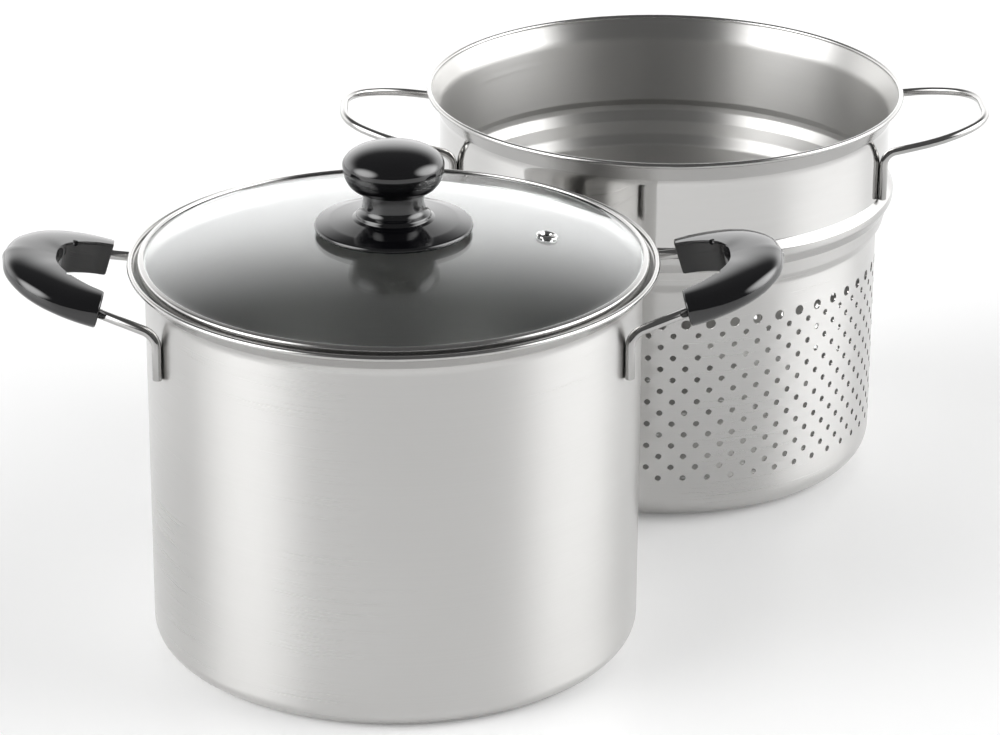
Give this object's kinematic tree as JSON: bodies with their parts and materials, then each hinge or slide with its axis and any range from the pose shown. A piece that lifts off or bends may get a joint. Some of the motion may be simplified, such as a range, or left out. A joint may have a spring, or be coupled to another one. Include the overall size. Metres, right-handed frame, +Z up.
{
  "type": "pasta pot with strainer insert",
  "caption": "Cylindrical stainless steel pasta pot with side grips, a domed glass lid with a knob, and a perforated lift-out strainer insert with wire loop handles.",
  "frame": {"origin": "centre of the pot's base, on the surface that it stands on", "axes": "+Z up along the pot's axis, +X along the line of the pot's two side grips towards the strainer, +Y towards the rear, where the strainer stands beside the pot"},
  "size_m": [0.4676, 0.4471, 0.233],
  "materials": {
    "satin_steel": "satin",
    "bright_steel": "polished",
    "black_plastic": "glossy",
    "clear_glass": "clear",
    "brass_insert": "machined",
    "silicone_seal": "matte"
  },
  "bodies": {
    "pot": {"pot_body": "satin_steel", "left_front_rod": "bright_steel", "left_rear_rod": "bright_steel", "right_front_rod": "bright_steel", "right_rear_rod": "bright_steel", "left_grip": "black_plastic", "right_grip": "black_plastic", "left_grip_pins": "bright_steel", "right_grip_pins": "bright_steel"},
    "lid": {"lid_rim": "bright_steel", "lid_glass": "clear_glass", "vent_eyelet": "bright_steel", "knob": "black_plastic", "knob_insert": "brass_insert", "lid_seal": "silicone_seal", "knob_screw": "bright_steel"},
    "strainer": {"strainer_body": "satin_steel", "strainer_left_loop": "bright_steel", "strainer_right_loop": "bright_steel"}
  },
  "joints": [
    {"name": "lid_lift", "type": "slide", "parent": "pot", "child": "lid", "axis": [0, 0, 1], "range_m": [0, 0.2]},
    {"name": "strainer_lift", "type": "slide", "parent": "pot", "child": "strainer", "axis": [0, 0, 1], "range_m": [0, 0.25]}
  ]
}
